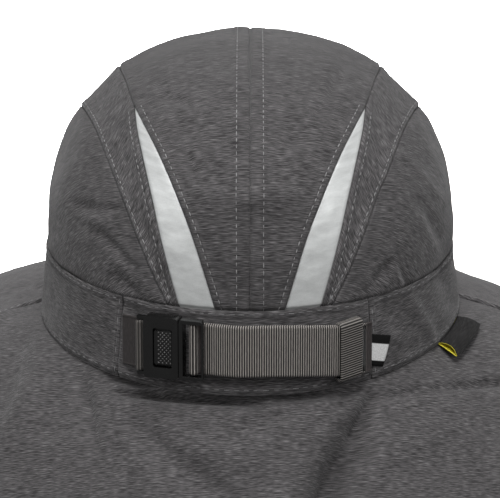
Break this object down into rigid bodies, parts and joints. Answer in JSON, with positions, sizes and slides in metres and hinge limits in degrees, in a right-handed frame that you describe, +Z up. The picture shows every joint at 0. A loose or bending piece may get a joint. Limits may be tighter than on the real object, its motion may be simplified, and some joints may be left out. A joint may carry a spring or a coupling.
{
  "type": "rain hat with brim and neck cape",
  "caption": "Soft seamed hat with a band, a stiff brim round the front and sides, a cape over the neck, and a webbing strap with a buckle across the back.",
  "frame": {"origin": "middle of the head opening, level with the bottom of the band at the back, where the hat sits on a head", "axes": "+Z up out of the top of the crown, +Y the way the wearer looks, +X towards the wearer's right"},
  "size_m": [0.3198, 0.3557, 0.2908],
  "materials": {
    "crown_cloth": "heathered charcoal rain cloth",
    "band_cloth": "heathered charcoal rain cloth, darker",
    "brim_cloth": "heathered charcoal rain cloth over a stiff core",
    "cape_cloth": "heathered charcoal rain cloth, single layer",
    "reflective_cloth": "pale grey reflective tape",
    "webbing": "warm grey ribbed webbing",
    "buckle_plastic": "matte black moulded plastic",
    "tag_cloth": "woven tag, pale between black edges",
    "label_cloth": "folded woven label, dark outside and yellow inside, without words"
  },
  "bodies": {
    "root": {"crown_center_left": "crown_cloth", "crown_center_right": "crown_cloth", "crown_gore_left": "crown_cloth", "crown_gore_right": "crown_cloth", "crown_side_left": "crown_cloth", "crown_side_right": "crown_cloth", "reflective_wedge_left": "reflective_cloth", "reflective_wedge_right": "reflective_cloth", "band_back": "band_cloth", "band_sides": "band_cloth", "brim": "brim_cloth", "neck_cape": "cape_cloth", "strap": "webbing", "strap_anchor": "webbing", "strap_keeper": "webbing", "buckle_socket": "buckle_plastic", "buckle_insert": "buckle_plastic", "seam_tag": "tag_cloth", "side_label": "label_cloth"}
  },
  "joints": []
}
